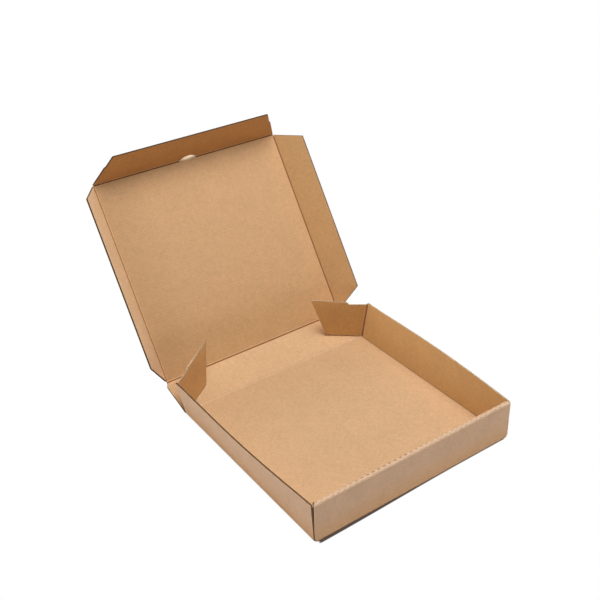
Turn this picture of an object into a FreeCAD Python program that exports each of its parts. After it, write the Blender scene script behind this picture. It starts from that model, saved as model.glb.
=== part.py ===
"""Pizza box, folded from one die-cut sheet of thin corrugated board.

Millimetres. X runs to the right, Y to the rear, Z up. The origin is the middle
of the tray's underside, so the box stands on Z = 0.

The box is open: the rear wall has dropped back, the lid leans behind it, and the
flaps and rear tabs stand part-way through their folds. Every panel is drawn flat
in a frame of its own, with the crease along local X, the panel along local Y and
the inside face of the board at local Z = 0, and is then turned about that crease.
"""

import FreeCAD
import Part
import math
import os

import Sketcher

Vector = FreeCAD.Vector
Placement = FreeCAD.Placement
Rotation = FreeCAD.Rotation

X_AXIS = Vector(1, 0, 0)
Y_AXIS = Vector(0, 1, 0)
Z_AXIS = Vector(0, 0, 1)

# Driving dimensions: alias, value, meaning
SIZES = [
    ("board", 1.5, "thickness of the board"),
    ("fold_gap", 0.1, "clearance between a panel's end and its crease"),
    ("tray_width", 230.0, "outside width of the tray's floor"),
    ("tray_depth", 226.5, "outside depth of the tray's floor"),
    ("side_height", 42.5, "height of the side walls"),
    ("front_height", 42.8, "height of the double front wall"),
    ("left_splay_front", 2.0, "outward lean of the left wall's top, at its front end"),
    ("left_splay_rear", 7.8, "outward lean of the left wall's top, at its rear end"),
    ("right_splay_front", 1.0, "outward lean of the right wall's top, at its front end"),
    ("right_splay_rear", 8.2, "outward lean of the right wall's top, at its rear end"),
    ("tuck_slot", 1.7, "slot between the two layers of the front wall"),
    ("corner_gap", 0.9, "open slit between front wall and side wall"),
    ("corner_cut_width", 2.4, "cut at the front wall's lower corners, along X"),
    ("corner_cut_height", 3.6, "cut at the front wall's lower corners, along Z"),
    ("cut_length", 3.2, "one cut of a perforated crease"),
    ("cut_spacing", 3.15, "board left between two cuts"),
    ("cut_width", 0.5, "width of a cut"),
    ("cut_depth", 0.8, "depth of a cut, from the top strip's surface"),
    ("cut_inset", 0.35, "cuts, from the outside of their crease"),
    ("cut_margin", 4.0, "uncut end of a perforated crease"),
    ("front_tab_length", 48.0, "front corner tab, hidden in the front wall"),
    ("front_tab_slant", 9.0, "slant of the front corner tab's free end"),
    ("front_tab_point", 4.5, "point of the front corner tab's free end"),
    ("front_tab_play", 0.1, "play of the front corner tab in its slot"),
    ("tab_setback", 3.3, "rear tabs' crease, in front of the rear wall's outside"),
    ("tab_length_top", 64.0, "rear tab along its top edge"),
    ("tab_length_foot", 42.5, "rear tab along its lower edge"),
    ("tab_foot_start", 0.6, "lower edge of a rear tab above the floor, at its crease"),
    ("tab_foot_rise", 8.6, "rise of that lower edge towards the free end"),
    ("tab_notch_start", 20.8, "deepest point of the notch, from the crease"),
    ("tab_notch_end", 23.6, "end of the notch, from the crease"),
    ("tab_notch_depth", 2.4, "depth of the notch under the side wall's top"),
    ("tab_root_drop", 0.3, "rear tab's top edge under the side wall's top, at its crease"),
    ("tab_corner_radius", 4.0, "rounded lower corner of a rear tab"),
    ("rear_height", 42.5, "rear wall, crease to crease"),
    ("rear_corner_cut", 5.0, "cut at the rear wall's upper corners"),
    ("lid_side_play", 2.75, "lid's side creases, inside the tray's sides"),
    ("lid_front_play", 8.0, "lid's front crease, behind the tray's front when shut"),
    ("moon_width", 20.0, "half-moon thumb tab across its root"),
    ("moon_height", 5.6, "half-moon thumb tab beyond the crease"),
    ("moon_gap", 0.4, "clearance round the half-moon in the front flap"),
    ("side_flap_depth", 35.5, "lid side flap, crease to free edge"),
    ("side_flap_rear_start", 2.0, "side flap's root, from the lid's rear crease"),
    ("side_flap_rear_slant", 21.7, "side flap's rear corner, from the lid's rear crease"),
    ("side_flap_front_slant", 15.2, "side flap's front corner, from the lid's front crease"),
    ("side_flap_front_start", 0.6, "side flap's root, from the lid's front crease"),
    ("front_flap_depth", 39.0, "lid front flap, crease to free edge"),
    ("front_flap_slant", 18.0, "front flap's free corner, inside the lid's side crease"),
    ("nick_depth", 24.0, "nick in the front flap's slanted end, from the crease"),
    ("nick_inset", 10.3, "nick, inside the lid's side crease"),
    ("nick_step", 1.5, "size of the nick"),
    ("rear_wall_angle", 16.0, "rear wall above the floor"),
    ("lid_angle", 56.4, "lid above the floor"),
    ("left_flap_angle", 54.6, "fold of the lid's left flap out of the lid's plane"),
    ("right_flap_angle", 60.4, "fold of the lid's right flap out of the lid's plane"),
    ("front_flap_angle", 64.5, "fold of the lid's front flap out of the lid's plane"),
    ("left_tab_angle", 59.5, "fold of the left rear tab out of its side wall's plane"),
    ("right_tab_angle", 62.4, "fold of the right rear tab out of its side wall's plane"),
]

# Stations along a side wall, as shares of its length, and where its lean stops growing
STATIONS = (0.0, 0.15, 0.32, 0.5, 0.72, 1.0)
LEAN_GROWS_UNTIL = 0.6

# The lid's width and length, which follow the tray's
LID_WIDTH = "(tray_width - 2*lid_side_play)"
LID_LENGTH = "(tray_depth - lid_front_play)"

doc = FreeCAD.newDocument("PizzaBox")
sheet = doc.addObject("Spreadsheet::Sheet", "Sizes")
for row, (alias, value, meaning) in enumerate(SIZES, start=1):
    sheet.set(f"A{row}", meaning)
    sheet.set(f"B{row}", str(value))
    sheet.setAlias(f"B{row}", alias)
doc.recompute()


def size(text):
    """Value of a formula whose words are aliases of the sheet."""
    return float(sheet.evalExpression(cells(text)))


def cells(text):
    """The same formula, with each alias written as a cell of the sheet."""
    words = []
    word = ""
    for letter in text + " ":
        if letter.isalnum() or letter == "_":
            word += letter
            continue
        words.append(f"Sizes.{word}" if word in ALIASES else word)
        words.append(letter)
        word = ""
    return "".join(words).strip()


ALIASES = {alias for alias, _, _ in SIZES}


def origin_plane(body, role):
    return [item for item in body.Origin.OriginFeatures if item.Role == role][0]


def outline(body, name, role, corners, offset=None):
    """Closed sketch through corners given as formulas (x, y).

    A corner with a third entry is joined to the next one by an arc of that radius,
    which bulges to the left of the way round if the radius is negative.
    """
    sketch = body.newObject("Sketcher::SketchObject", name)
    sketch.AttachmentSupport = [(origin_plane(body, role), "")]
    sketch.MapMode = "FlatFace"
    if offset:
        sketch.setExpression("AttachmentOffset.Base.z", cells(offset))
    points = [Vector(size(corner[0]), size(corner[1]), 0) for corner in corners]
    for index, corner in enumerate(corners):
        start = points[index]
        end = points[(index + 1) % len(points)]
        if len(corner) == 3:
            sketch.addGeometry(arc_between(start, end, size(corner[2])), False)
        else:
            sketch.addGeometry(Part.LineSegment(start, end), False)
    starts = []
    for index, corner in enumerate(corners):
        flipped = len(corner) == 3 and size(corner[2]) < 0
        starts.append((index, 2 if flipped else 1, 1 if flipped else 2))
    for index, corner in enumerate(corners):
        following = starts[(index + 1) % len(corners)]
        here = starts[index]
        sketch.addConstraint(Sketcher.Constraint("Coincident", here[0], here[2],
                                                 following[0], following[1]))
        for kind, formula, value in (("DistanceX", corner[0], points[index].x),
                                     ("DistanceY", corner[1], points[index].y)):
            added = sketch.addConstraint(
                Sketcher.Constraint(kind, -1, 1, here[0], here[1], value))
            sketch.setExpression(f"Constraints[{added}]", cells(formula))
        if len(corner) == 3:
            added = sketch.addConstraint(
                Sketcher.Constraint("Radius", index, abs(size(corner[2]))))
            sketch.setExpression(f"Constraints[{added}]", cells(f"abs({corner[2]})"))
    return sketch


def arc_between(start, end, radius):
    """Short arc from start to end; a positive radius bulges to the right of the way."""
    way = end - start
    half = way.Length / 2
    side = Vector(way.y, -way.x, 0).normalize()
    rise = abs(radius) - math.sqrt(max(radius * radius - half * half, 0.0))
    middle = (start + end) * 0.5 + side * math.copysign(rise, radius)
    return Part.Arc(start, middle, end)


def panel(name, corners):
    """Flat piece of board: its inside face at local Z = 0, its outside below."""
    body = doc.addObject("PartDesign::Body", name)
    sketch = outline(body, name + "_outline", "XY_Plane", corners)
    pad = body.newObject("PartDesign::Pad", name + "_board")
    pad.Profile = sketch
    pad.setExpression("Length", cells("board"))
    pad.Reversed = True
    body.Tip = pad
    return body


def round_corner(body, name, corner, radius):
    """Round the edge of a panel that stands on one corner of its outline."""
    doc.recompute()
    place = Vector(size(corner[0]), size(corner[1]), 0)
    board = body.Tip
    for number, edge in enumerate(board.Shape.Edges, start=1):
        middle = (edge.Vertexes[0].Point + edge.Vertexes[-1].Point) * 0.5
        if math.hypot(middle.x - place.x, middle.y - place.y) < 0.001:
            fillet = body.newObject("PartDesign::Fillet", name)
            fillet.Base = (board, [f"Edge{number}"])
            fillet.setExpression("Radius", cells(radius))
            body.Tip = fillet


def rod(name, crease, start, length, radius):
    """Cylinder along a stretch of a crease."""
    cylinder = doc.addObject("Part::Cylinder", name)
    cylinder.setExpression("Radius", cells(radius))
    cylinder.setExpression("Height", cells(length))
    cylinder.Placement = crease.multiply(
        Placement(Vector(size(start), 0, 0), Rotation(Y_AXIS, 90)))
    return cylinder


def bend(name, crease, start, length):
    """Rounded outside of a fold: a quarter of a rod about the crease."""
    quarter = rod(name, crease, start, length, "board - 2*fold_gap")
    quarter.Angle = 90
    return quarter


def folded(name, body, crease, start, length):
    """Panel whose root is hollowed, so that it turns round its neighbour's bend."""
    cut = doc.addObject("Part::Cut", name + "_folded")
    cut.Base = body
    cut.Tool = rod(name + "_hollow", crease, start, length, "board - fold_gap")
    return cut


def turned(angle):
    return Placement(Vector(0, 0, 0), Rotation(X_AXIS, angle))


def fuse(name, pieces):
    whole = doc.addObject("Part::MultiFuse", name)
    whole.Shapes = pieces
    whole.Refine = True
    return whole


def splay_share(share):
    """How much of a side wall's lean has grown at a share of its length."""
    return math.sin(math.pi / 2 * min(share / LEAN_GROWS_UNTIL, 1.0))


# Creases, as frames whose X axis is the crease and whose Y axis is the flat panel
rear_crease = Placement(Vector(0, size("tray_depth/2 - board"), size("board")), Rotation())
rear_wall_frame = rear_crease.multiply(turned(size("rear_wall_angle")))
lid_crease = rear_wall_frame.multiply(Placement(Vector(0, size("rear_height"), 0), Rotation()))
lid_frame = lid_crease.multiply(turned(size("lid_angle - rear_wall_angle")))
left_flap_crease = lid_frame.multiply(
    Placement(Vector(size(f"-{LID_WIDTH}/2"), 0, 0), Rotation(Z_AXIS, 90)))
right_flap_crease = lid_frame.multiply(
    Placement(Vector(size(f"{LID_WIDTH}/2"), 0, 0), Rotation(Z_AXIS, -90)))
front_flap_crease = lid_frame.multiply(Placement(Vector(0, size(LID_LENGTH), 0), Rotation()))


def rear_tab_crease(side, splay):
    """Crease of a rear tab: the rear edge of a side wall, which leans outwards."""
    lean = math.degrees(math.atan2(size(splay), size("side_height - board")))
    corner = Vector(side * size("tray_width/2 - board"),
                    size("tray_depth/2 - tab_setback"), size("board"))
    return Placement(corner, Rotation(Y_AXIS, -side * (90 - lean)))


left_tab_crease = rear_tab_crease(-1, "left_splay_rear")
right_tab_crease = rear_tab_crease(1, "right_splay_rear")


def side_wall(name, side, splay_front, splay_rear):
    """Side wall with its rounded lower fold, lofted through leaning sections."""
    body = doc.addObject("PartDesign::Body", name)
    crease = f"{side}*(tray_width/2 - board)"
    front = "-tray_depth/2 + board + corner_gap"
    rear = "tray_depth/2 - tab_setback"
    sections = []
    for number, share in enumerate(STATIONS):
        splay = f"({splay_front} + ({splay_rear} - {splay_front})*{splay_share(share):.4f})"
        slope = f"atan({splay}/(side_height - board))"
        corners = [
            (crease, "0 * board", f"{side}*board"),
            (f"{crease} + {side}*board*cos({slope})", f"board - board*sin({slope})"),
            (f"{crease} + {side}*({splay} + board*cos({slope}))",
             f"side_height - board*sin({slope})"),
            (f"{crease} + {side}*{splay}", "side_height"),
            (crease, "board"),
        ]
        place = f"-(({front}) + ({rear} - ({front}))*{share})"
        sections.append(outline(body, f"{name}_section_{number}", "XZ_Plane", corners, place))
    loft = body.newObject("PartDesign::AdditiveLoft", name + "_loft")
    loft.Profile = sections[0]
    loft.Sections = sections[1:]
    body.Tip = loft
    return body


def tray_floor():
    body = doc.addObject("PartDesign::Body", "floor")
    half_width = "(tray_width/2 - board)"
    half_depth = "(tray_depth/2 - board)"
    sketch = outline(body, "floor_outline", "XY_Plane", [
        (f"-{half_width}", f"-{half_depth}"), (half_width, f"-{half_depth}"),
        (half_width, half_depth), (f"-{half_width}", half_depth)])
    pad = body.newObject("PartDesign::Pad", "floor_board")
    pad.Profile = sketch
    pad.setExpression("Length", cells("board"))
    body.Tip = pad
    return body


def perforate(body, name, crease):
    """Row of short cuts along a crease at the top of the front wall."""
    doc.recompute()
    base = body.Tip
    left = "(-tray_width/2 + board + cut_margin)"
    row = outline(body, name, "XY_Plane", [
        (left, crease), (f"{left} + cut_length", crease),
        (f"{left} + cut_length", f"{crease} + cut_width"), (left, f"{crease} + cut_width")],
        "front_height")
    cut = body.newObject("PartDesign::Pocket", name + "_cut")
    cut.Profile = row
    cut.setExpression("Length", cells("cut_depth"))
    doc.recompute()
    pattern = body.newObject("PartDesign::LinearPattern", name + "_row")
    pattern.Originals = [cut]
    pattern.Direction = (row, ["H_Axis"])
    pitch = "(cut_length + cut_spacing)"
    count = f"floor((tray_width - 2*board - 2*cut_margin - cut_length)/{pitch})"
    pattern.setExpression("Length", cells(f"{pitch}*{count}"))
    pattern.setExpression("Occurrences", cells(f"{count} + 1"))
    body.Tip = pattern
    doc.recompute()
    if pattern.Shape.Volume > base.Shape.Volume - 1:
        raise RuntimeError(f"{name} cuts nothing")


def front_wall():
    """Outer layer of the front wall, folded up from the floor, corners cut."""
    body = doc.addObject("PartDesign::Body", "front_outer")
    outside = "-tray_depth/2"
    inside = "(-tray_depth/2 + board)"
    section = outline(body, "front_outer_section", "YZ_Plane", [
        (inside, "0 * board", "-board"), (outside, "board"),
        (outside, "front_height - board", "-board"), (inside, "front_height")])
    pad = body.newObject("PartDesign::Pad", "front_outer_board")
    pad.Profile = section
    pad.setExpression("Length", cells("tray_width"))
    pad.Midplane = True
    doc.recompute()
    corner = outline(body, "corner_cut", "XZ_Plane", [
        ("tray_width/2 - corner_cut_width", "-board"), ("tray_width/2 + board", "-board"),
        ("tray_width/2 + board", "corner_cut_height"), ("tray_width/2", "corner_cut_height"),
        ("tray_width/2 - corner_cut_width", "0 * board")])
    cut = body.newObject("PartDesign::Pocket", "corner_cut_right")
    cut.Profile = corner
    cut.Type = "ThroughAll"
    cut.Midplane = True
    doc.recompute()
    mirror = body.newObject("PartDesign::Mirrored", "corner_cuts")
    mirror.Originals = [cut]
    mirror.MirrorPlane = (origin_plane(body, "YZ_Plane"), [""])
    body.Tip = mirror
    perforate(body, "outer_crease", f"{outside} + cut_inset")
    return body


def rolled_front():
    """Top strip and inner layer, rolled over the front wall and down to the floor."""
    body = doc.addObject("PartDesign::Body", "front_inner")
    outer = "(-tray_depth/2 + board)"
    back = "(-tray_depth/2 + 2*board + tuck_slot)"
    section = outline(body, "front_inner_section", "YZ_Plane", [
        (outer, "front_height"), (outer, "front_height - board"),
        (f"{back} - board", "front_height - board"), (f"{back} - board", "board"),
        (back, "board"), (back, "front_height - board", "board"),
        (f"{back} - board", "front_height")])
    pad = body.newObject("PartDesign::Pad", "front_inner_board")
    pad.Profile = section
    pad.setExpression("Length", cells("tray_width - 2*board"))
    pad.Midplane = True
    body.Tip = pad
    perforate(body, "inner_crease", f"{back} - cut_inset - cut_width")
    return body


def front_corner_tab(name, side, splay):
    """Tab of a side wall, folded inwards and held between the front wall's layers."""
    body = doc.addObject("PartDesign::Body", name)
    root = f"{side}*(tray_width/2 - board/2)"
    end = f"{side}*(tray_width/2 - front_tab_length)"
    sketch = outline(body, name + "_outline", "XZ_Plane", [
        (root, "board"), (end, "board + front_tab_play"),
        (f"{end} - {side}*front_tab_point", "side_height/2"),
        (f"{end} + {side}*front_tab_slant", "side_height - board - front_tab_play"),
        (f"{root} + {side}*{splay}", "side_height - board - front_tab_play")],
        "tray_depth/2 - board - front_tab_play")
    pad = body.newObject("PartDesign::Pad", name + "_board")
    pad.Profile = sketch
    pad.setExpression("Length", cells("board"))
    pad.Reversed = True
    body.Tip = pad
    return body


TAB_CREASE = "side_height - board - tab_foot_start - tab_root_drop"


def make_tray():
    pieces = [
        tray_floor(),
        side_wall("left_wall", -1, "left_splay_front", "left_splay_rear"),
        side_wall("right_wall", 1, "right_splay_front", "right_splay_rear"),
        front_wall(),
        rolled_front(),
        front_corner_tab("left_front_tab", -1, "left_splay_front"),
        front_corner_tab("right_front_tab", 1, "right_splay_front"),
        bend("rear_bend", rear_crease, "-tray_width/2 + board", "tray_width - 2*board"),
        bend("left_tab_bend", left_tab_crease, "-side_height + board + tab_root_drop",
             TAB_CREASE),
        bend("right_tab_bend", right_tab_crease, "tab_foot_start", TAB_CREASE),
    ]
    return fuse("tray", pieces)


def make_rear_wall():
    cut = "rear_corner_cut"
    body = panel("rear_wall", [
        ("-tray_width/2", "fold_gap"), ("tray_width/2", "fold_gap"),
        ("tray_width/2", f"rear_height - {cut}"), (f"{LID_WIDTH}/2", "rear_height"),
        (f"-{LID_WIDTH}/2", "rear_height"), ("-tray_width/2", f"rear_height - {cut}")])
    body.Placement = rear_wall_frame
    board = folded("rear_wall", body, rear_crease, "-tray_width/2", "tray_width")
    return fuse("rear_wall_whole", [
        board, bend("lid_bend", lid_crease, f"-{LID_WIDTH}/2", LID_WIDTH)])


def make_lid_panel():
    moon_radius = "((moon_width/2)^2 + moon_height^2)/(2*moon_height)"
    body = panel("lid_board", [
        (f"-{LID_WIDTH}/2", "fold_gap"), (f"{LID_WIDTH}/2", "fold_gap"),
        (f"{LID_WIDTH}/2", LID_LENGTH), ("moon_width/2", LID_LENGTH, moon_radius),
        ("-moon_width/2", LID_LENGTH), (f"-{LID_WIDTH}/2", LID_LENGTH)])
    body.Placement = lid_frame
    board = folded("lid_panel", body, lid_crease, f"-{LID_WIDTH}/2", LID_WIDTH)
    front_run = f"{LID_WIDTH}/2 - moon_width/2 - moon_gap"
    side_run = f"{LID_LENGTH} - board - side_flap_front_start"
    return fuse("lid_panel_whole", [
        board,
        bend("lid_left_bend", left_flap_crease, "board", side_run),
        bend("lid_right_bend", right_flap_crease, f"-{LID_LENGTH} + side_flap_front_start", side_run),
        bend("lid_front_bend_left", front_flap_crease, f"-{LID_WIDTH}/2", front_run),
        bend("lid_front_bend_right", front_flap_crease, "moon_width/2 + moon_gap", front_run),
    ])


def make_side_flap(name, way, crease, fold):
    """Lid side flap; way is +1 where the crease's X axis runs to the front, else -1."""
    body = panel(name, [
        (f"{way}*side_flap_rear_start", "fold_gap"),
        (f"{way}*side_flap_rear_slant", "side_flap_depth"),
        (f"{way}*({LID_LENGTH} - side_flap_front_slant)", "side_flap_depth"),
        (f"{way}*({LID_LENGTH} - side_flap_front_start)", "fold_gap")])
    body.Placement = crease.multiply(turned(size(fold)))
    start = "0 * board" if way > 0 else f"-{LID_LENGTH}"
    return folded(name, body, crease, start, LID_LENGTH)


def make_front_flap():
    gap_half = "(moon_width/2 + moon_gap)"
    gap_rise = "(moon_height + moon_gap)"
    gap_radius = f"-({gap_half}^2 + ({gap_rise} - fold_gap)^2)/(2*({gap_rise} - fold_gap))"
    body = panel("lid_front_flap", [
        (f"-{LID_WIDTH}/2", "fold_gap"),
        (f"-{gap_half}", "fold_gap", gap_radius), (gap_half, "fold_gap"),
        (f"{LID_WIDTH}/2", "fold_gap"),
        (f"{LID_WIDTH}/2 - nick_inset", "nick_depth"),
        (f"{LID_WIDTH}/2 - nick_inset - nick_step", "nick_depth + nick_step/2"),
        (f"{LID_WIDTH}/2 - front_flap_slant", "front_flap_depth"),
        (f"-{LID_WIDTH}/2 + front_flap_slant", "front_flap_depth"),
        (f"-{LID_WIDTH}/2 + nick_inset + nick_step", "nick_depth + nick_step/2"),
        (f"-{LID_WIDTH}/2 + nick_inset", "nick_depth")])
    body.Placement = front_flap_crease.multiply(turned(size("front_flap_angle")))
    return folded("lid_front_flap", body, front_flap_crease, f"-{LID_WIDTH}/2", LID_WIDTH)


def make_rear_tab(name, way, crease, fold):
    """Rear tab; way is +1 where the crease's X axis runs upwards, else -1."""
    foot = (f"{way}*(tab_foot_start + tab_foot_rise)", "tab_length_foot")
    body = panel(name, [
        (f"{way}*tab_foot_start", "fold_gap"), foot,
        (f"{way}*(side_height - board)", "tab_length_top"),
        (f"{way}*(side_height - board)", "tab_notch_end"),
        (f"{way}*(side_height - board - tab_notch_depth)", "tab_notch_start"),
        (f"{way}*(side_height - board - tab_root_drop)", "fold_gap")])
    round_corner(body, name + "_foot", foot, "tab_corner_radius")
    body.Placement = crease.multiply(turned(size(fold)))
    start = "0 * board" if way > 0 else "-side_height"
    return folded(name, body, crease, start, "side_height")


parts = {
    "tray": make_tray(),
    "rear_wall": make_rear_wall(),
    "lid_panel": make_lid_panel(),
    "lid_left_flap": make_side_flap("lid_left_flap", 1, left_flap_crease, "left_flap_angle"),
    "lid_right_flap": make_side_flap("lid_right_flap", -1, right_flap_crease, "right_flap_angle"),
    "lid_front_flap": make_front_flap(),
    "left_rear_tab": make_rear_tab("left_rear_tab", -1, left_tab_crease, "left_tab_angle"),
    "right_rear_tab": make_rear_tab("right_rear_tab", 1, right_tab_crease, "right_tab_angle"),
}
doc.recompute()

for item in doc.Objects:
    for fault in ("Invalid", "Error"):
        if fault in item.State:
            raise RuntimeError(f"{item.Name} is {fault}")

os.makedirs("parts", exist_ok=True)
for name, item in parts.items():
    item.Label = name
    shape = item.Shape
    if shape.isNull() or not shape.isValid():
        raise RuntimeError(f"{name} has no valid shape")
    shape.exportStep(os.path.join("parts", name + ".step"))
    print(f"{name}: {len(shape.Solids)} solid, {shape.Volume / 1000:.2f} cm3, "
          f"{len(shape.Faces)} faces")
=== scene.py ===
# %% [markdown]
# # An open kraft pizza box
#
# This is one sheet of thin corrugated board, cut, creased and folded into a shallow tray with
# a lid, two rear tabs and three lid flaps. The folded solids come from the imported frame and
# keep their shapes. What the frame can't give is the paper: its mottled brown liner, the
# rounded fold where the liner runs on from panel to panel, and the cut edges, where the wave
# between the two liners shows. Every cell below adds one of these.

# %% Tools and the frame
import math

import bmesh
import bpy
import numpy as np
from mathutils import Matrix, Vector


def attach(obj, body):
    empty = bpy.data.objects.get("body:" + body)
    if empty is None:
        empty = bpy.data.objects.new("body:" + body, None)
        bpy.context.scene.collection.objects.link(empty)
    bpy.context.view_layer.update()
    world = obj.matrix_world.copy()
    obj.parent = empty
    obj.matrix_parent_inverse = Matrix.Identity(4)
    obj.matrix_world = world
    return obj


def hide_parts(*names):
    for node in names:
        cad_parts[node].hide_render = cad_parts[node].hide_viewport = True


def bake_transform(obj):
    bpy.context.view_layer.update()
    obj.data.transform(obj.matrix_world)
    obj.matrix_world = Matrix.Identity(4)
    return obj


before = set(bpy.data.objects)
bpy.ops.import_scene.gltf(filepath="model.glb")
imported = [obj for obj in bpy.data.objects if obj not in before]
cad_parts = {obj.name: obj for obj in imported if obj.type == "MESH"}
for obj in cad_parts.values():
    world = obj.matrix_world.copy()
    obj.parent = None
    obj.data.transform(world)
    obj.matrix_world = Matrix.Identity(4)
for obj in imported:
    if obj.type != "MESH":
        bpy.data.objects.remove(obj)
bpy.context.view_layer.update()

# %% [markdown]
# ## Where the panels lie
#
# A folded box is a chain of flat panels. Each panel gets a frame of its own: its X axis runs
# along the crease at its root, Y runs out into the panel, and Z points to the inside face.
# One 4 x 4 matrix holds that, and a fold is a turn about X, so the whole box follows from a
# few lengths and angles. Lengths are in metres.

# %% Sizes of the board and the panels
MM = 0.001
BOARD = 1.5 * MM
TRAY_WIDTH = 230.0 * MM
TRAY_DEPTH = 226.5 * MM
SIDE_HEIGHT = 42.5 * MM
REAR_HEIGHT = 42.5 * MM
LID_WIDTH = TRAY_WIDTH - 5.5 * MM
LID_LENGTH = TRAY_DEPTH - 8.0 * MM
TAB_INSET = 3.3 * MM
LEFT_LEAN = 7.8 * MM
RIGHT_LEAN = 8.2 * MM
FOLDED = {"rear_wall": 16.0, "lid_panel": 40.4, "lid_left_flap": 54.6, "lid_right_flap": 60.4,
          "lid_front_flap": 64.5, "left_rear_tab": 59.5, "right_rear_tab": 62.4}


def frame_at(origin, turn):
    """Matrix from an origin and a 3 x 3 turn."""
    matrix = np.eye(4)
    matrix[:3, :3] = turn
    matrix[:3, 3] = origin
    return matrix


def fold(degrees):
    """Turn about the crease, which is the frame's X axis."""
    c, s = math.cos(math.radians(degrees)), math.sin(math.radians(degrees))
    return frame_at((0, 0, 0), [[1, 0, 0], [0, c, -s], [0, s, c]])


def step(x, y, degrees=0.0):
    """Move in the panel's plane, then turn about its normal."""
    c, s = math.cos(math.radians(degrees)), math.sin(math.radians(degrees))
    return frame_at((x, y, 0), [[c, -s, 0], [s, c, 0], [0, 0, 1]])


def tab_crease(side, lean_top):
    """Rear edge of a side wall, leaning outwards by lean_top at its top."""
    lean = math.atan2(lean_top, SIDE_HEIGHT - BOARD)
    c, s = math.cos(lean), math.sin(lean)
    corner = (side * (TRAY_WIDTH / 2 - BOARD), TRAY_DEPTH / 2 - TAB_INSET, BOARD)
    along = (s, 0, side * c)
    inside = (-side * c, 0, s)
    return frame_at(corner, np.array([along, (0, 1, 0), inside]).T)


rear_crease = frame_at((0, TRAY_DEPTH / 2 - BOARD, BOARD), np.eye(3))
rear_wall = rear_crease @ fold(FOLDED["rear_wall"])
lid_crease = rear_wall @ step(0, REAR_HEIGHT)
lid = lid_crease @ fold(FOLDED["lid_panel"])

creases = {
    "rear_wall": rear_crease,
    "lid_panel": lid_crease,
    "lid_left_flap": lid @ step(-LID_WIDTH / 2, 0, 90),
    "lid_right_flap": lid @ step(LID_WIDTH / 2, 0, -90),
    "lid_front_flap": lid @ step(0, LID_LENGTH),
    "left_rear_tab": tab_crease(-1, LEFT_LEAN),
    "right_rear_tab": tab_crease(1, RIGHT_LEAN),
}
panels = {name: crease @ fold(FOLDED[name]) for name, crease in creases.items()}
for name, matrix in panels.items():
    print(name, "starts at", np.round(matrix[:3, 3] / MM, 2), "mm")

# %% [markdown]
# ## The kraft liner
#
# Kraft paper is unbleached pulp: a warm brown with faint clouds a centimetre or two wide,
# short fibres lighter and darker than their surroundings, a fine grain, and a washboard where
# the flutes press through. All of it is made from noise in Object coordinates, so it stays on
# the paper when a panel moves. Each panel hands the pattern its own axes: x along the flutes,
# y across them, z through the board.


# %% A few words for wiring shader nodes
class Wiring:
    """Short calls that add and join the nodes of one material."""

    def __init__(self, name):
        self.material = bpy.data.materials.new(name)
        self.material.use_nodes = True
        self.tree = self.material.node_tree
        self.tree.nodes.clear()

    def node(self, kind, **settings):
        made = self.tree.nodes.new(kind)
        for key, value in settings.items():
            setattr(made, key, value)
        return made

    def feed(self, socket, value):
        if isinstance(value, bpy.types.NodeSocket):
            self.tree.links.new(value, socket)
        else:
            socket.default_value = value

    def math(self, operation, *values, clamp=False):
        made = self.node("ShaderNodeMath", operation=operation, use_clamp=clamp)
        for socket, value in zip(made.inputs, values):
            self.feed(socket, value)
        return made.outputs[0]

    def dot(self, vector, direction):
        made = self.node("ShaderNodeVectorMath", operation="DOT_PRODUCT")
        self.feed(made.inputs[0], vector)
        made.inputs[1].default_value = tuple(direction)
        return made.outputs["Value"]

    def scaled(self, vector, factors):
        made = self.node("ShaderNodeVectorMath", operation="MULTIPLY")
        self.feed(made.inputs[0], vector)
        made.inputs[1].default_value = tuple(factors)
        return made.outputs[0]

    def noise(self, vector, scale, detail=2.0, roughness=0.5):
        made = self.node("ShaderNodeTexNoise")
        self.feed(made.inputs["Vector"], vector)
        made.inputs["Scale"].default_value = scale
        made.inputs["Detail"].default_value = detail
        made.inputs["Roughness"].default_value = roughness
        return made.outputs["Fac"]

    def ramp(self, value, low, high, to_low=0.0, to_high=1.0):
        """Smooth step from to_low to to_high while value goes from low to high."""
        made = self.node("ShaderNodeMapRange", interpolation_type="SMOOTHSTEP")
        for socket, number in zip(made.inputs, (value, low, high, to_low, to_high)):
            self.feed(socket, number)
        return made.outputs[0]

    def blend(self, share, first, second):
        made = self.node("ShaderNodeMix", data_type="RGBA")
        self.feed(made.inputs[0], share)
        for socket, colour in ((made.inputs[6], first), (made.inputs[7], second)):
            whole = colour if isinstance(colour, bpy.types.NodeSocket) else (*colour, 1)
            self.feed(socket, whole)
        return made.outputs[2]

    def times(self, colour, factor):
        made = self.node("ShaderNodeVectorMath", operation="SCALE")
        self.feed(made.inputs[0], colour)
        self.feed(made.inputs["Scale"], factor)
        return made.outputs[0]


# %% Colours of the board, and its flutes
LINER_INSIDE = (0.67, 0.425, 0.238)
LINER_OUTSIDE = (0.66, 0.435, 0.285)
# partly painted light: the pale crushed papers of a cut, lit from above
EDGE_LIT_CREAM = (0.80, 0.60, 0.40)
# painted light: the half-moon lip, lit from above
MOON_PAINTED_LIGHT = (0.95, 0.74, 0.50)
# painted highlight on the strip where the board rolls over the front wall
STRIP_HIGHLIGHT = (0.77, 0.53, 0.35)
# painted shade in the front flap's crease
FRONT_CREASE_SHADE = (0.15, 0.042, 0.008)
# painted shade on cut papers that face away from the light
EDGE_SHADE_BROWN = (0.20, 0.125, 0.07)
# painted shade of the flutes' hollows on a cut face
FLUTE_HOLLOW_SHADE = (0.055, 0.026, 0.010)
# painted shade in the front corner slits and on the cut tops of the side walls
SLIT_SHADE_BROWN = (0.15, 0.068, 0.026)
# painted shade in score lines and in the perforation slits
SCORE_SHADE_BROWN = (0.27, 0.10, 0.026)
# painted highlight along the rear wall's crease
RIDGE_HIGHLIGHT = (0.80, 0.55, 0.34)
FLUTE_PITCH = 3.2 * MM
PERFORATION = 6.15 * MM


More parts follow.
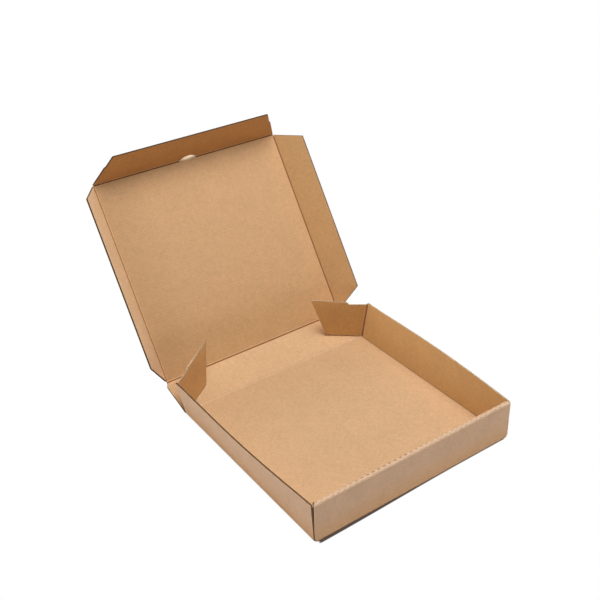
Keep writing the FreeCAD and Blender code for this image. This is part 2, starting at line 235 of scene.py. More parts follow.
# %% Paper: clouds, fibres, grain and washboard
TEXTURE_SHARES = {"mottle": 0.17, "long fibres": 0.38, "cross fibres": 0.42, "grain": 0.55}


def sheet_axes(wires, matrix):
    """Object coordinates, and the same turned into the axes of the sheet given by matrix."""
    place = wires.node("ShaderNodeTexCoord").outputs["Object"]
    axes = wires.node("ShaderNodeCombineXYZ")
    for number in range(3):
        wires.feed(axes.inputs[number], wires.dot(place, matrix[:3, number]))
    return place, axes.outputs[0]


def paper(wires, axes, strength=1.0, ribs=0.010):
    """Brightness of the liner about 1, and its height for the bump."""
    clouds = wires.noise(axes, 42, 3, 0.55)
    textures = {
        "mottle": wires.noise(axes, 190, 3, 0.6),
        "long fibres": wires.noise(wires.scaled(axes, (260, 1900, 1900)), 1.0, 2, 0.6),
        "cross fibres": wires.noise(wires.scaled(axes, (2100, 330, 2100)), 1.0, 2, 0.6),
        "grain": wires.noise(axes, 2400, 2, 0.7),
    }
    across = wires.node("ShaderNodeSeparateXYZ")
    wires.feed(across.inputs[0], axes)
    wander = wires.math("MULTIPLY", clouds, 0.9)
    turns = wires.math("MULTIPLY_ADD", across.outputs[1], 1 / FLUTE_PITCH, wander)
    washboard = wires.math("SINE", wires.math("MULTIPLY", turns, 2 * math.pi))
    total = wires.math("MULTIPLY", wires.math("SUBTRACT", clouds, 0.5), 0.12 * strength)
    for name, texture in textures.items():
        centred = wires.math("SUBTRACT", texture, 0.5)
        total = wires.math("MULTIPLY_ADD", centred, TEXTURE_SHARES[name] * strength, total)
    total = wires.math("MULTIPLY_ADD", washboard, ribs * strength, total)
    specks = wires.ramp(wires.noise(axes, 620, 1, 0.5), 0.70, 0.76)
    total = wires.math("MULTIPLY_ADD", specks, -0.10 * strength, total)
    relief = wires.math("ADD", textures["grain"], textures["long fibres"])
    height = wires.math("MULTIPLY_ADD", washboard, 0.35, relief)
    return wires.math("ADD", total, 1.0), height


def finish_paper(wires, colour, height):
    """Matt shader with the paper's small relief."""
    shader = wires.node("ShaderNodeBsdfPrincipled")
    wires.feed(shader.inputs["Base Color"], colour)
    shader.inputs["Roughness"].default_value = 0.82
    shader.inputs["Specular IOR Level"].default_value = 0.10
    bump = wires.node("ShaderNodeBump")
    bump.inputs["Strength"].default_value = 0.35
    bump.inputs["Distance"].default_value = 0.00012
    wires.feed(bump.inputs["Height"], height)
    wires.feed(shader.inputs["Normal"], bump.outputs[0])
    output = wires.node("ShaderNodeOutputMaterial")
    wires.feed(output.inputs[0], shader.outputs[0])
    return wires.material


# %% [markdown]
# ## Faces of a panel
#
# One solid holds the inside liner, the outside liner and the cut edge between them. A face
# knows which it is from its own normal: along the panel's normal it is the inside, against
# it the outside, and sideways it is a cut, painted dark as the shade in the hollows of the
# flutes. The lid and the rear wall have painted shade towards their left end, the lid is
# warmer near its crease, and its half-moon lip is painted light.


# %% Board material for one flat panel
SIDE_FLAPS = ("lid_left_flap", "lid_right_flap")
TABS = ("left_rear_tab", "right_rear_tab")
# painted shade: the lid and the rear wall darken towards their left end
LEFT_END_SHADE = 0.86
WARM_FOOT = (0.95, 0.91, 0.83)


def board_material(name, inside):
    """Liners and cuts of the flat panel of that name. The flutes run along the crease at the
    panel's root, but on the lid's side flaps they run across it."""
    wires = Wiring("kraft " + name)
    matrix = panels[name]
    turned = matrix @ step(0, 0, 90) if name in SIDE_FLAPS else matrix
    place, axes = sheet_axes(wires, turned)
    on_lid = name == "lid_panel"
    ribs = 0.020 if on_lid or name in TABS else 0.010
    level, height = paper(wires, axes, 0.85 if on_lid else 1.0, ribs)
    normal = wires.node("ShaderNodeTexCoord").outputs["Normal"]
    facing = wires.dot(normal, matrix[:3, 2])
    # painted shade towards the left end
    if on_lid or name == "rear_wall":
        along = wires.dot(place, matrix[:3, 0])
        shaded_left = tuple(LEFT_END_SHADE * c for c in inside)
        inside = wires.blend(wires.ramp(along, -115 * MM, -45 * MM), shaded_left, inside)
    if on_lid:
        root = float(matrix[:3, 3] @ matrix[:3, 1])
        depth = wires.math("SUBTRACT", wires.dot(place, matrix[:3, 1]), root)
        warm = wires.scaled(inside, WARM_FOOT)
        inside = wires.blend(wires.ramp(depth, 0.0, 100 * MM), warm, inside)
        # painted light on the half-moon lip past the front crease
        past_crease = wires.ramp(depth, LID_LENGTH - 0.3 * MM, LID_LENGTH + 0.6 * MM)
        inside = wires.blend(past_crease, inside, MOON_PAINTED_LIGHT)
    liner = wires.blend(wires.math("GREATER_THAN", facing, 0.0), LINER_OUTSIDE, inside)
    # painted shade: cut faces take the dark of the flutes' hollows
    cut = wires.math("LESS_THAN", wires.math("ABSOLUTE", facing), 0.5)
    colour = wires.blend(cut, wires.times(liner, level), FLUTE_HOLLOW_SHADE)
    return finish_paper(wires, colour, height)


# inside colours per panel: lit and shaded copies of one liner, with painted light on the rear wall and
# the left flap, and painted shade on the lid, the right flap, the front flap and the tabs
lit_and_shaded_tints = {
    "rear_wall": (0.725, 0.46, 0.25),
    "lid_panel": (0.648, 0.394, 0.204),
    "lid_left_flap": (0.73, 0.48, 0.28),
    "lid_right_flap": (0.66, 0.40, 0.185),
    "lid_front_flap": (0.49, 0.228, 0.076),
    "left_rear_tab": (0.63, 0.36, 0.151),
    "right_rear_tab": (0.585, 0.318, 0.12),
}
materials = {name: board_material(name, tint) for name, tint in lit_and_shaded_tints.items()}
print(len(materials), "panel materials")

# %% [markdown]
# ## The tray
#
# The tray is one solid of several walls, so its faces are told apart by place as well: a
# wall's inside faces the middle of the tray, and the strip on the front wall is the outside
# liner again, because the board rolls over there, painted paler there as a highlight.


# %% Board material for the tray
FLOOR_TINT = (0.715, 0.455, 0.252)
# painted shade: the floor's colour towards the rear crease
FLOOR_SHADE_AT_REAR = (0.655, 0.415, 0.225)
# painted light: the walls' inside is lighter than the liner, with its blue lowered as warm painted shade
WALL_PAINTED_LIGHT = (0.73, 0.45, 0.20)
OUTER_FOOT_TINT = (0.66, 0.395, 0.215)
STRIP_HEIGHT = 41.2 * MM
STRIP_BACK = -108.2 * MM
FRONT_LAYERS = -108.0 * MM
FRONT_CORE = -111.7 * MM
SIDE_WALLS = 112.5 * MM
OUTER_ROW = -112.7 * MM
INNER_ROW = -110.2 * MM
# the place where the inner row's painted shade is darkest
WIDEST_GAPE = -35.0 * MM
FLOOR_SPECKS = ((21.7, 67.5, 0.9, 0.70), (-22.5, -28.2, 1.3, 0.90), (-16.5, -36.5, 0.8, 0.88))


def distance(wires, first, second):
    """Square root of first ** 2 + second ** 2."""
    square = wires.math("MULTIPLY", second, second)
    return wires.math("SQRT", wires.math("MULTIPLY_ADD", first, first, square))


def both(wires, *conditions):
    """1 where every condition is 1."""
    result = conditions[0]
    for condition in conditions[1:]:
        result = wires.math("MULTIPLY", result, condition)
    return result


def perforated(wires, liner, x, y, on_strip):
    """Two rows of slits along the strip's creases, drawn as painted shade in the slits. The inner
    row gapes most left of the middle, where the board has opened, so its shade is darkest there."""
    off_middle = wires.math("ABSOLUTE", wires.math("SUBTRACT", x, WIDEST_GAPE))
    gaping = wires.ramp(off_middle, 20 * MM, 45 * MM, 0.62, 0.25)
    rows = ((OUTER_ROW, 0.3 * MM, 109.5 * MM, 0.14), (INNER_ROW, 0.7 * MM, 39.0 * MM, gaping))
    for row, half_width, offset, depth in rows:
        turns = wires.math("DIVIDE", wires.math("ADD", x, offset), PERFORATION)
        slit = wires.math("LESS_THAN", wires.math("FRACT", turns), 0.5)
        on_row = wires.math("COMPARE", y, row, half_width)
        mark = wires.math("MULTIPLY", both(wires, on_strip, on_row, slit), depth)
        # painted shade in each slit
        liner = wires.blend(mark, liner, SCORE_SHADE_BROWN)
    return liner


def specked(wires, liner, x, y):
    """Small dark specks in the floor's paper: x, y and radius in millimetres, brightness."""
    for speck_x, speck_y, radius, brightness in FLOOR_SPECKS:
        reach = distance(wires, wires.math("SUBTRACT", x, speck_x * MM),
                         wires.math("SUBTRACT", y, speck_y * MM))
        shade = wires.ramp(reach, 0.4 * radius * MM, radius * MM, brightness, 1.0)
        liner = wires.times(liner, shade)
    return liner


def tray_material():
    wires = Wiring("kraft tray")
    place, axes = sheet_axes(wires, np.eye(4))
    level, height = paper(wires, axes)
    normal = wires.node("ShaderNodeSeparateXYZ")
    wires.feed(normal.inputs[0], wires.node("ShaderNodeTexCoord").outputs["Normal"])
    nx, ny, nz = normal.outputs
    point = wires.node("ShaderNodeSeparateXYZ")
    wires.feed(point.inputs[0], place)
    x, y, z = point.outputs

    # which liner shows: the inside faces up or towards the middle, and on top of the walls
    # the sign of up turns round
    high = wires.math("GREATER_THAN", z, 30 * MM)
    up = wires.math("MULTIPLY", nz, wires.math("MULTIPLY_ADD", high, -2.0, 1.0))
    outwards = wires.math("MULTIPLY_ADD", ny, y, wires.math("MULTIPLY", nx, x))
    facing = wires.math("MULTIPLY_ADD", outwards, -10.0, up)
    upright = wires.math("LESS_THAN", wires.math("ABSOLUTE", nz), 0.5)
    # painted shade: the floor darkens towards the rear crease
    floor_tint = wires.blend(wires.ramp(y, 0.0, 100 * MM), FLOOR_TINT, FLOOR_SHADE_AT_REAR)
    inner = wires.blend(upright, floor_tint, WALL_PAINTED_LIGHT)
    outer = wires.blend(wires.ramp(z, 0.0, 30 * MM), OUTER_FOOT_TINT, LINER_OUTSIDE)
    on_strip = both(wires, wires.math("GREATER_THAN", z, STRIP_HEIGHT),
                    wires.math("LESS_THAN", y, STRIP_BACK))
    # painted highlight on the strip
    outer = wires.blend(on_strip, outer, STRIP_HIGHLIGHT)
    in_front = wires.math("LESS_THAN", y, FRONT_LAYERS)
    # painted shade: the front wall's outside darkens to half towards its foot, where its contact shadow
    # falls
    foot = both(wires, in_front, wires.ramp(z, 2.2 * MM, 0.4 * MM))
    outer = wires.times(outer, wires.math("MULTIPLY_ADD", foot, -0.5, 1.0))
    liner = wires.blend(wires.math("GREATER_THAN", facing, 0.0), outer, inner)

    # painted shade along the line where the side walls rise from the floor, then the perforations and the
    # specks
    side = wires.math("GREATER_THAN", wires.math("ABSOLUTE", x), SIDE_WALLS)
    beside = wires.math("SUBTRACT", wires.math("ABSOLUTE", x), TRAY_WIDTH / 2 - BOARD)
    away = distance(wires, beside, wires.math("SUBTRACT", z, BOARD))
    liner = wires.times(liner, wires.ramp(away, 0.25 * MM, 0.9 * MM, 0.70, 1.0))
    liner = perforated(wires, liner, x, y, on_strip)
    liner = specked(wires, liner, x, y)

    # cuts, painted dark brown as shade: the tops of the side walls, and the ends that meet at the front
    # corners, where the slit between them is in shade
    upwards = wires.math("GREATER_THAN", nz, 0.6)
    top = both(wires, high, upwards, side, wires.math("GREATER_THAN", y, -110.5 * MM))
    end_on = wires.math("GREATER_THAN", wires.math("ABSOLUTE", ny), 0.7)
    slit = both(wires, side, end_on, wires.math("GREATER_THAN", y, -112.2 * MM), in_front)
    sideways = wires.math("GREATER_THAN", wires.math("ABSOLUTE", nx), 0.7)
    front_end = both(wires, side, sideways, wires.math("COMPARE", y, FRONT_CORE, 0.6 * MM))
    cut = wires.math("MAXIMUM", wires.math("MAXIMUM", top, slit), front_end)
    colour = wires.blend(cut, wires.times(liner, level), SLIT_SHADE_BROWN)
    return finish_paper(wires, colour, height)


materials["tray"] = tray_material()
for name, material in materials.items():
    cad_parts[name].material_slots[0].material = material

# %% [markdown]
# ## Swept pieces
#
# Fold liners and the papers of a cut edge are all the same kind of surface: a small closed
# profile carried along a line. The profile at every station is one row of an array with
# three axes: station, point of the profile, coordinate. A flat board is simpler: its outline
# twice, and the cut between.


# %% Pieces from points and faces
def new_piece(name, points, faces, material, across=None):
    """Object of the given faces with their normals outwards, in the board's slot."""
    mesh = bpy.data.meshes.new(name)
    mesh.from_pydata(points, [], faces)
    if across is not None:
        attribute = mesh.attributes.new("across", "FLOAT", "POINT")
        attribute.data.foreach_set("value", across.astype(np.float32))
    tidy = bmesh.new()
    tidy.from_mesh(mesh)
    bmesh.ops.recalc_face_normals(tidy, faces=tidy.faces)
    tidy.to_mesh(mesh)
    tidy.free()
    mesh.materials.append(material)
    piece = bpy.data.objects.new(name, mesh)
    bpy.context.scene.collection.objects.link(piece)
    return piece


def swept_piece(name, tubes, material, across=None):
    """Closed tubes in one mesh. Each tube is an array (stations, ring, 3): quads join ring
    point j of station i to point j + 1 and to station i + 1, and a face closes each end."""
    points, faces, values, start = [], [], [], 0
    for number, tube in enumerate(tubes):
        stations, ring, _ = tube.shape
        index = start + np.arange(stations * ring).reshape(stations, ring)
        near, far = index[:-1], index[1:]
        quads = np.stack([near, np.roll(near, -1, 1), np.roll(far, -1, 1), far], axis=2)
        faces += quads.reshape(-1, 4).tolist()
        faces += [index[0][::-1].tolist(), index[-1].tolist()]
        points.append(tube.reshape(-1, 3))
        if across is not None:
            values.append(np.tile(across[number], stations))
        start += stations * ring
    values = np.concatenate(values) if values else None
    return new_piece(name, np.concatenate(points), faces, material, values)


def to_world(matrix, local):
    """Points given in a panel's frame, in the frame of the whole box."""
    return local @ matrix[:3, :3].T + matrix[:3, 3]


# %% [markdown]
# ## Cut edges
#
# Where a knife went through the board, two liners show as thin lines with the wave of the
# medium between them. On an edge that runs along the flutes the wave is a straight line. The
# wave's height is a sine of the distance across the flutes, so both come out of the same
# formula. The papers are pale and crushed together on the tabs, the right wall and the
# half-moon, partly painted light there, and thin elsewhere, painted brown as shade.
#
# The rear tabs of the solids have a taller foot than the real ones. Each tab is therefore shown
# as a board of its own, in the same plane and as thick, with the outline listed here.

# %% Papers of a cut edge
PROUD = 0.04 * MM
SUNK = 0.25 * MM
STEPS_PER_FLUTE = 8
WAVE_SHARE = 0.27
CLOSE = 1e-5


def edge_paper(name, colour):
    """Plain finish for the papers of a cut edge."""
    wires = Wiring(name)
    _, axes = sheet_axes(wires, np.eye(4))
    level, height = paper(wires, axes, 1.6)
    return finish_paper(wires, wires.times(colour, level), height)


# partly painted light: pale crushed papers lit from above
lit_edge = edge_paper("lit pale cut edge", EDGE_LIT_CREAM)
# painted shade: brown papers on edges that face away from the light
shaded_edge = edge_paper("shaded cut edge", EDGE_SHADE_BROWN)


def strip(inner, outer, outwards, near, far):
    """Bar on a cut: near and far say where it lies through the board, 0 inside, 1 outside."""
    through = outer - inner
    near = np.broadcast_to(near, len(inner))[:, None]
    far = np.broadcast_to(far, len(inner))[:, None]
    low, high = -SUNK * outwards, PROUD * outwards
    return np.stack([inner + through * near + low, inner + through * far + low,
                     inner + through * far + high, inner + through * near + high], axis=1)


def resampled(line, count):
    """The same polyline with count points, spaced evenly along its length."""
    lengths = np.concatenate([[0], np.cumsum(np.linalg.norm(np.diff(line, axis=0), axis=1))])
    wanted = np.linspace(0, lengths[-1], count)
    return np.stack([np.interp(wanted, lengths, line[:, axis]) for axis in range(3)], axis=1)


def cut_edge(inner, outer, across_flutes, inside, thick):
    """Two liners and the wave between the inner and outer edge lines of a cut. inside is any
    point within the board, and thick is each paper's share of the board's thickness."""
    length = np.linalg.norm(np.diff(inner, axis=0), axis=1).sum()
    count = max(3, int(length / (FLUTE_PITCH / STEPS_PER_FLUTE)) + 1)
    inner, outer = resampled(inner, count), resampled(outer, count)
    tangent = np.gradient(inner, axis=0)
    outwards = np.cross(tangent, outer - inner)
    outwards /= np.linalg.norm(outwards, axis=1)[:, None]
    if ((inner - inside) * outwards).sum() < 0:
        outwards = -outwards
    wave = 0.5 + WAVE_SHARE * np.sin(2 * math.pi * (inner @ across_flutes) / FLUTE_PITCH)
    straight = np.allclose(inner[count // 2], (inner[0] + inner[-1]) / 2, atol=2 * CLOSE)
    few = [0, -1] if straight else slice(None)
    return [strip(inner[few], outer[few], outwards[few], 0.0, thick),
            strip(inner[few], outer[few], outwards[few], 1.0 - thick, 1.0),
            strip(inner, outer, outwards, wave - thick / 2, wave + thick / 2)]


# %% Outlines of the flat panels, in millimetres from the crease
def arc(x_start, x_end, root, rise, count=17):
    """Points of a circular arc that bulges by rise between two points at y = root."""
    half = abs(x_end - x_start) / 2
    radius = (half ** 2 + rise ** 2) / (2 * rise)
    turn = np.linspace(-math.asin(half / radius), math.asin(half / radius), count)
    way = 1 if x_end > x_start else -1
    x = (x_start + x_end) / 2 + way * radius * np.sin(turn)
    return list(zip(x, root + rise - radius * (1 - np.cos(turn))))


half_lid = LID_WIDTH / 2 / MM
lid_long = LID_LENGTH / MM
outlines = {
    "rear_wall": [[(-115, 1.5), (-115, 37.5), (-half_lid, 42.3)],
                  [(115, 1.5), (115, 37.5), (half_lid, 42.3)]],
    "lid_panel": [arc(10, -10, lid_long, 5.6)],
    "lid_left_flap": [[(2.3, 1.6), (21.7, 35.5), (lid_long - 15.2, 35.5), (lid_long - 1.2, 1.6)]],
    "lid_right_flap": [[(-2.3, 1.6), (-21.7, 35.5), (-lid_long + 15.2, 35.5), (-lid_long + 1.2, 1.6)]],
    "lid_front_flap": [[
        (half_lid - 0.6, 1.5), (half_lid - 10.3, 24), (half_lid - 11.8, 24.75), (half_lid - 18, 39),
        (-half_lid + 18, 39), (-half_lid + 11.8, 24.75), (-half_lid + 10.3, 24), (-half_lid + 0.6, 1.5)]],
    "left_rear_tab": [[(-0.6, 1.4), (-0.6, 41.0), (-1.0, 42.2), (-2.2, 43.2), (-42.4, 63.4),
                       (-41, 23.6), (-38.6, 20.8), (-39.8, 1.4)]],
    "right_rear_tab": [[(0.6, 1.4), (0.6, 41.0), (1.0, 42.2), (2.2, 43.2), (40.6, 64.6),
                        (41, 23.6), (38.6, 20.8), (39.6, 1.4)]],
}


def board_panel(name, matrix, line, material):
    """Flat board of the outline line, in millimetres: two faces and the cut between them."""
    inside = np.array([(x * MM, y * MM, 0) for x, y in line])
    points = to_world(matrix, np.concatenate([inside, inside - (0, 0, BOARD)]))
    count = len(line)
    ring = np.arange(count)
    sides = np.stack([ring, np.roll(ring, -1), np.roll(ring, -1) + count, ring + count], axis=1)
    faces = [ring.tolist(), (ring + count)[::-1].tolist()] + sides.tolist()
    return new_piece(name, points, faces, material)


for name in TABS:
    tab = board_panel(name + "_board", panels[name], outlines[name][0], materials[name])
    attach(tab, name)
    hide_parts(name)

for name, lines in outlines.items():
    matrix = panels[name]
    # the tabs' wave runs as on the side flaps, though their flutes lie along the crease
    across_flutes = matrix[:3, 0 if name in SIDE_FLAPS + TABS else 1]
    pale = name == "lid_panel" or name in TABS
    thick = 0.24 if pale else 0.10
    tubes = []
    for line in lines:
        corners = np.array([(x * MM, y * MM, 0) for x, y in line])
        inner = to_world(matrix, corners)
        outer = to_world(matrix, corners - (0, 0, BOARD))
        if name == "lid_panel":
            tubes += cut_edge(inner, outer, across_flutes, inner[0] - matrix[:3, 1] * 0.05, thick)
            continue
        middle = to_world(matrix, np.array((corners[:, 0].mean(), 5 * MM, 0)))
        for number in range(len(corners) - 1):
            pair = slice(number, number + 2)
            tubes += cut_edge(inner[pair], outer[pair], across_flutes, middle, thick)
    piece = swept_piece(name + "_cut_edge", tubes, lit_edge if pale else shaded_edge)
    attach(piece, name)
    print(piece.name, len(piece.data.polygons), "faces")

# %% [markdown]
# The tops of the tray's side walls are cut too, and they lean outwards more towards the
# rear. Their inner edge is read from the tray's own solid, so the papers sit on it exactly.

# %% Papers along the side walls
tray_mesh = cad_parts["tray"].data
tray_points = np.empty(len(tray_mesh.vertices) * 3)
tray_mesh.vertices.foreach_get("co", tray_points)
tray_points = tray_points.reshape(-1, 3)
at_top = np.abs(tray_points[:, 2] - SIDE_HEIGHT) < CLOSE
behind_corner = tray_points[:, 1] > -110.9 * MM
# the left wall's cut top takes the painted shade, the right wall's the partly painted light
for side, name, edge, thick in ((-1, "left", shaded_edge, 0.12), (1, "right", lit_edge, 0.26)):
    on_wall = tray_points[:, 0] * side > 112.6 * MM
    rim = tray_points[at_top & behind_corner & on_wall]
    rim = rim[np.argsort(rim[:, 1])]
    rim = rim[np.concatenate([[True], np.diff(rim[:, 1]) > CLOSE])]
    y = np.linspace(rim[0, 1], rim[-1, 1], 240)
    x = np.interp(y, rim[:, 1], rim[:, 0])
    inner = np.stack([x, y, np.full_like(y, SIDE_HEIGHT)], axis=1)
    slope = np.arctan((np.abs(x) - (TRAY_WIDTH / 2 - BOARD)) / (SIDE_HEIGHT - BOARD))
    outer = inner + BOARD * np.stack([side * np.cos(slope), 0 * y, -np.sin(slope)], axis=1)
    papers = cut_edge(inner, outer, np.array([0.0, 1.0, 0.0]), np.zeros(3), thick)
    piece = swept_piece(name + "_wall_cut_edge", papers, edge)
    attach(piece, "tray")
    print(name, "rim from", rim[0], "to", rim[-1])

# %% [markdown]
# ## Fold liners
#
# At a crease the paper doesn't stop: the outside liner runs round the fold as a small arc, and
# the inside liner is pressed into a score line, with painted shade in it. These ribbons cross
# every fold, bent to its angle here. The rear wall hardly folds, so its crease gets a painted highlight.

# %% Liner material with a score line
def scored_material(name, liner, score_colour, share, reach):
    """Liner with a score line, painted shade at most folds and a painted highlight on the rear wall:
    in its middle the score's colour has that share, and it fades out at reach, where 1 is the
    ribbon's edge."""
    wires = Wiring(name)
    _, axes = sheet_axes(wires, np.eye(4))
    level, height = paper(wires, axes)
    across = wires.node("ShaderNodeAttribute", attribute_name="across").outputs["Fac"]
    score = wires.ramp(wires.math("ABSOLUTE", across), 0.18, reach, share, 0.0)
    colour = wires.blend(wires.math("GREATER_THAN", across, 1.5), liner, LINER_OUTSIDE)
    colour = wires.blend(score, colour, score_colour)
    return finish_paper(wires, wires.times(colour, level), height)


# %% Ribbons across the creases
LIFT = 0.06 * MM
TAIL = 1.8 * MM
ARC_STEPS = 9
SCORE_HALF = 1.1 * MM
OUTSIDE_MARK = 2.0


def outside_profile(degrees):
    """Cross-section round the outside of a fold, in (y, z) of the crease's frame."""
    turn = np.radians(np.linspace(0, degrees, ARC_STEPS))
    rows = []
    for radius in (BOARD + LIFT, BOARD - 0.1 * MM):
        arc_part = np.stack([radius * np.sin(turn), -radius * np.cos(turn)], axis=1)
        first = arc_part[0] - np.array([TAIL, 0])
        last = arc_part[-1] + TAIL * np.array([math.cos(turn[-1]), math.sin(turn[-1])])
        rows.append(np.vstack([first, arc_part, last]))
    return np.vstack([rows[0], rows[1][::-1]])


def inside_profile(degrees):
    """Cross-section of the pressed line on the inside of a fold."""
    turn = math.radians(degrees)
    out = np.array([math.cos(turn), math.sin(turn)])
    up = np.array([-math.sin(turn), math.cos(turn)])
    halfway = np.array([-math.sin(turn / 2), math.cos(turn / 2)])
    middle = (np.array([0, 1.0]) + up) * LIFT / (1 + math.cos(turn)) * 0.5
    rows = []
    for lift, centre in ((LIFT, middle), (-LIFT, middle - 2 * LIFT * halfway)):
        rows.append([(-TAIL, lift), (-SCORE_HALF, lift), centre,
                     out * SCORE_HALF + up * lift, out * TAIL + up * lift])
    return np.vstack([rows[0], rows[1][::-1]])


# painted shade in each fold's score line and a painted highlight on the rear wall's, with their shares
score_shade_and_highlight = {"rear_wall": (RIDGE_HIGHLIGHT, 0.30), "lid_panel": (SCORE_SHADE_BROWN, 0.95),
                 "lid_left_flap": (SCORE_SHADE_BROWN, 0.75), "lid_right_flap": (SCORE_SHADE_BROWN, 0.85),
                 "lid_front_flap": (FRONT_CREASE_SHADE, 0.95),
                 "left_rear_tab": (SCORE_SHADE_BROWN, 0.7), "right_rear_tab": (SCORE_SHADE_BROWN, 0.9)}
folds = [
    ("rear_wall_fold", "tray", "rear_wall", -113.5, 113.5),
    ("lid_fold", "rear_wall", "lid_panel", -half_lid, half_lid),
    ("left_flap_fold", "lid_panel", "lid_left_flap", 2.4, lid_long - 1.6),
    ("right_flap_fold", "lid_panel", "lid_right_flap", -lid_long + 1.6, -2.4),
    ("front_flap_fold_left", "lid_panel", "lid_front_flap", -half_lid + 0.6, -10.6),
    ("front_flap_fold_right", "lid_panel", "lid_front_flap", 10.6, half_lid - 0.6),
    ("left_tab_fold", "tray", "left_rear_tab", -40.0, -0.7),
    ("right_tab_fold", "tray", "right_rear_tab", 0.7, 39.9),
]
for name, parent, child, start, end in folds:
    degrees = FOLDED[child]
    tubes, across = [], []
    for profile in (outside_profile(degrees), inside_profile(degrees)):
        rings = [np.column_stack([np.full(len(profile), x * MM), profile]) for x in (start, end)]
        tubes.append(to_world(creases[child], np.array(rings)))
        spread = np.linspace(-1, 1, len(profile) // 2)
        across.append(np.concatenate([spread, spread[::-1]]))
    across[0][:] = OUTSIDE_MARK
    # the fold liner takes its parent's painted light and shade
    liner = lit_and_shaded_tints.get(parent, LINER_INSIDE)
    reach = 0.9 if child == "rear_wall" or child in TABS else 0.55
    finish = scored_material(name + " liner", liner, *score_shade_and_highlight[child], reach)
    piece = swept_piece(name + "_liner", tubes, finish, across)
    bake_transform(piece)
print(len(folds), "folds lined")

# %% [markdown]
# ## Floor, light and camera
#
# The box stands on plain white. The floor lies a little under it, is white to the camera and
# still shows the thin brown contact shadow along the front edge, which is widest at the left.
# One wide soft lamp above, three weak ones low down on three sides and a faint even sky light
# the board at about the level its colours are written in.

# %% Floor
SHADE_BROWN = (0.26, 0.16, 0.10)
CONTACT_BROWN = (0.095, 0.068, 0.054)
floor_wires = Wiring("white floor")
path = floor_wires.node("ShaderNodeLightPath")
seen = floor_wires.math("MAXIMUM", path.outputs["Is Camera Ray"], path.outputs["Is Glossy Ray"])
diffuse = floor_wires.node("ShaderNodeBsdfDiffuse")
diffuse.inputs["Color"].default_value = (0.8, 0.8, 0.8, 1)
shade = floor_wires.node("ShaderNodeAmbientOcclusion")
shade.inputs["Distance"].default_value = 6 * MM
spot = floor_wires.node("ShaderNodeSeparateXYZ")
floor_wires.feed(spot.inputs[0], floor_wires.node("ShaderNodeTexCoord").outputs["Object"])
floor_x, floor_y, _ = spot.outputs
under = floor_wires.ramp(floor_y, -110.5 * MM, -111.2 * MM)
outer_line = floor_wires.ramp(floor_x, -110 * MM, 60 * MM, -116.2 * MM, -113.6 * MM)
within = floor_wires.ramp(floor_wires.math("SUBTRACT", floor_y, outer_line), 0.0, 1.2 * MM)
beside = floor_wires.ramp(floor_wires.math("ABSOLUTE", floor_x), 113 * MM, 110 * MM)
contact = floor_wires.math("MULTIPLY", floor_wires.math("MULTIPLY", under, within), beside)
open_floor = floor_wires.ramp(shade.outputs["AO"], 0.05, 0.5)
near = floor_wires.blend(open_floor, SHADE_BROWN, (1, 1, 1))
glow = floor_wires.node("ShaderNodeEmission")
floor_wires.feed(glow.inputs["Color"], floor_wires.blend(contact, near, CONTACT_BROWN))
mixed = floor_wires.node("ShaderNodeMixShader")
floor_wires.feed(mixed.inputs[0], seen)
floor_wires.feed(mixed.inputs[1], diffuse.outputs[0])
floor_wires.feed(mixed.inputs[2], glow.outputs[0])
floor_output = floor_wires.node("ShaderNodeOutputMaterial")
floor_wires.feed(floor_output.inputs[0], mixed.outputs[0])
floor_mesh = bpy.data.meshes.new("floor")
FLOOR_HALF = 6.0
corners = [(x * FLOOR_HALF, y * FLOOR_HALF, 0) for x, y in ((-1, -1), (1, -1), (1, 1), (-1, 1))]
floor_mesh.from_pydata(corners, [], [(0, 1, 2, 3)])
floor = bpy.data.objects.new("floor", floor_mesh)
floor_mesh.materials.append(floor_wires.material)
bpy.context.scene.collection.objects.link(floor)
floor.location.z = -0.4 * MM

# %% Sky and lamps
LIGHT_FROM_SKY = 0.064
world = bpy.data.worlds.new("pale sky")
bpy.context.scene.world = world
world.use_nodes = True
sky_tree = world.node_tree
sky_tree.nodes.clear()
sky = sky_tree.nodes.new("ShaderNodeBackground")
sky.inputs["Color"].default_value = (1, 1, 1, 1)
sky_path = sky_tree.nodes.new("ShaderNodeLightPath")
sky_level = sky_tree.nodes.new("ShaderNodeMapRange")
sky_level.inputs["To Min"].default_value = LIGHT_FROM_SKY
sky_level.inputs["To Max"].default_value = 1.0
sky_tree.links.new(sky_path.outputs["Is Camera Ray"], sky_level.inputs["Value"])
sky_tree.links.new(sky_level.outputs[0], sky.inputs["Strength"])
sky_output = sky_tree.nodes.new("ShaderNodeOutputWorld")
sky_tree.links.new(sky.outputs[0], sky_output.inputs[0])


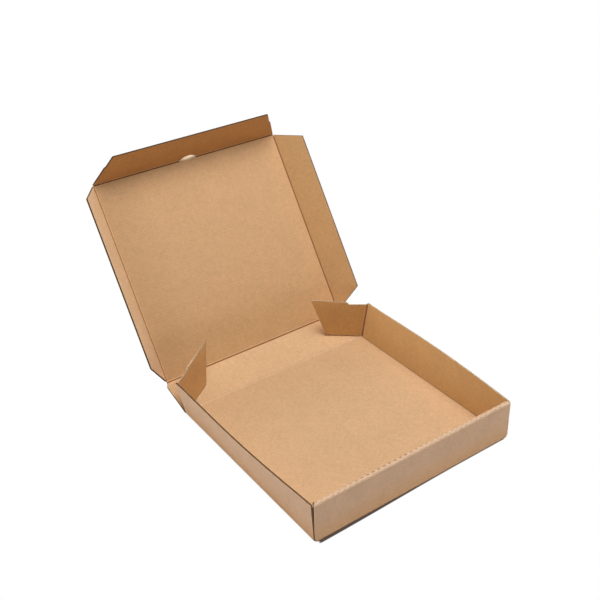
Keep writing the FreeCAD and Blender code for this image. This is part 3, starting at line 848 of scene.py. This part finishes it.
def soft_lamp(name, place, target, width, height, watts):
    """Rectangular area lamp at a place, facing a target."""
    data = bpy.data.lights.new(name, "AREA")
    data.shape = "RECTANGLE"
    data.size, data.size_y = width, height
    data.energy = watts
    lamp = bpy.data.objects.new(name, data)
    bpy.context.scene.collection.objects.link(lamp)
    lamp.location = place
    lamp.rotation_euler = (Vector(target) - Vector(place)).to_track_quat("-Z", "Y").to_euler()
    print(name, watts, "W")


soft_lamp("lamp above", (0.10, -0.20, 1.45), (0.0, 0.05, 0.0), 1.1, 0.9, 20.5)
soft_lamp("low lamp on the left", (-0.95, 0.12, 0.12), (0.0, 0.1, 0.05), 0.5, 0.2, 2.8)
soft_lamp("low lamp on the right", (0.95, 0.25, 0.05), (0.0, 0.15, 0.05), 0.5, 0.08, 3.9)
soft_lamp("low lamp in front", (0.34, -0.80, 0.03), (0.03, -0.1, 0.03), 0.7, 0.05, 1.03)

# %% Camera, from its direction round the box
AZIMUTH, ELEVATION, ROLL = (math.radians(a) for a in (-34.266, 31.263, -2.120))
CAMERA_TARGET = (105.64 * MM, 220.55 * MM, 0.0)
CAMERA_DISTANCE = 1146.23 * MM
back = np.array([math.sin(AZIMUTH) * math.cos(ELEVATION),
                 -math.cos(AZIMUTH) * math.cos(ELEVATION), math.sin(ELEVATION)])
right = np.cross(-back, (0, 0, 1))
right /= np.linalg.norm(right)
up = np.cross(right, -back)
rolled_right = right * math.cos(ROLL) + up * math.sin(ROLL)
rolled_up = up * math.cos(ROLL) - right * math.sin(ROLL)
camera_data = bpy.data.cameras.new("camera")
camera_data.sensor_width = 36.0
camera_data.lens = 56.61
camera = bpy.data.objects.new("camera", camera_data)
bpy.context.scene.collection.objects.link(camera)
view = np.eye(4)
view[:3, :3] = np.array([rolled_right, rolled_up, back]).T
view[:3, 3] = np.array(CAMERA_TARGET) + back * CAMERA_DISTANCE
camera.matrix_world = Matrix(view.tolist())
bpy.context.scene.camera = camera
bpy.context.scene.view_settings.view_transform = "Standard"
